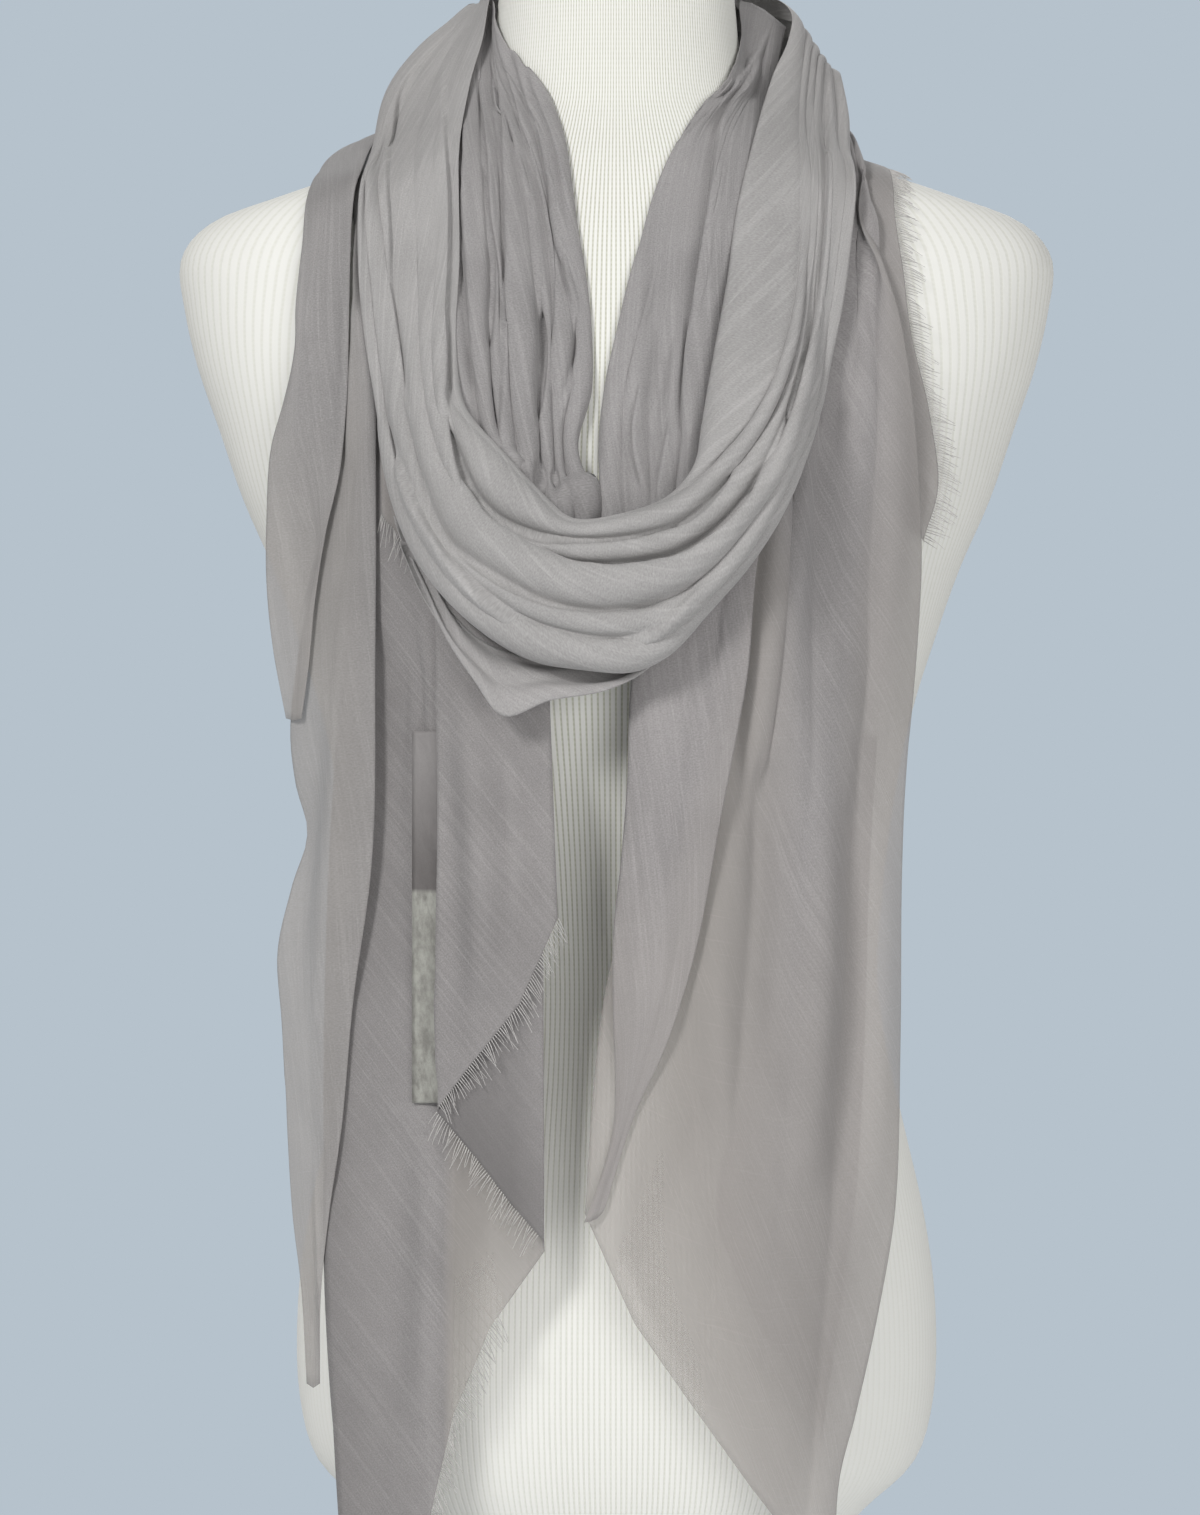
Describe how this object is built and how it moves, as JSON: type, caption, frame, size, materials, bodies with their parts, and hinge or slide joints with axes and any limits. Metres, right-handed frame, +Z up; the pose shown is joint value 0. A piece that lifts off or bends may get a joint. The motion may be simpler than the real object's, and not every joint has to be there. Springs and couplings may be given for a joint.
{
  "type": "scarf on dress form",
  "caption": "Light grey frayed scarf wound once round the neck of a limbless dress form on a round stand, its two ends hanging down the front",
  "frame": {"origin": "centre of the underside of the stand's base, which is the middle line of the form", "axes": "+Z up, +X to the viewer's right, the scarf's front faces -Y"},
  "size_m": [0.402, 0.3111, 0.995],
  "materials": {
    "form_cover": "fine ribbed knit cover, off-white",
    "stand_metal": "satin off-white paint",
    "scarf_cloth": "sheer fine twill, light grey, slightly slubbed",
    "scarf_fringe": "frayed yarn ends, light grey",
    "label_cloth": "plain crinkled ribbon, pale grey"
  },
  "bodies": {
    "root": {"dress_form": "form_cover", "stand_base": "stand_metal", "stand_pole": "stand_metal", "cowl_loop": "scarf_cloth", "cowl_corner": "scarf_cloth", "neck_back": "scarf_cloth", "neck_left_pleats": "scarf_cloth", "neck_right_folds": "scarf_cloth", "left_tail_outer": "scarf_cloth", "left_tail_front": "scarf_cloth", "left_tail_pleats": "scarf_cloth", "left_tail_corner": "scarf_cloth", "right_tail_main": "scarf_cloth", "right_tail_inner": "scarf_cloth", "right_tail_under": "scarf_cloth", "right_tail_back": "scarf_cloth", "care_label": "label_cloth", "fringe_left_first": "scarf_fringe", "fringe_left_second": "scarf_fringe", "fringe_left_third": "scarf_fringe", "fringe_left_corner": "scarf_fringe", "fringe_right_under": "scarf_fringe", "fringe_right_back": "scarf_fringe"}
  },
  "joints": []
}
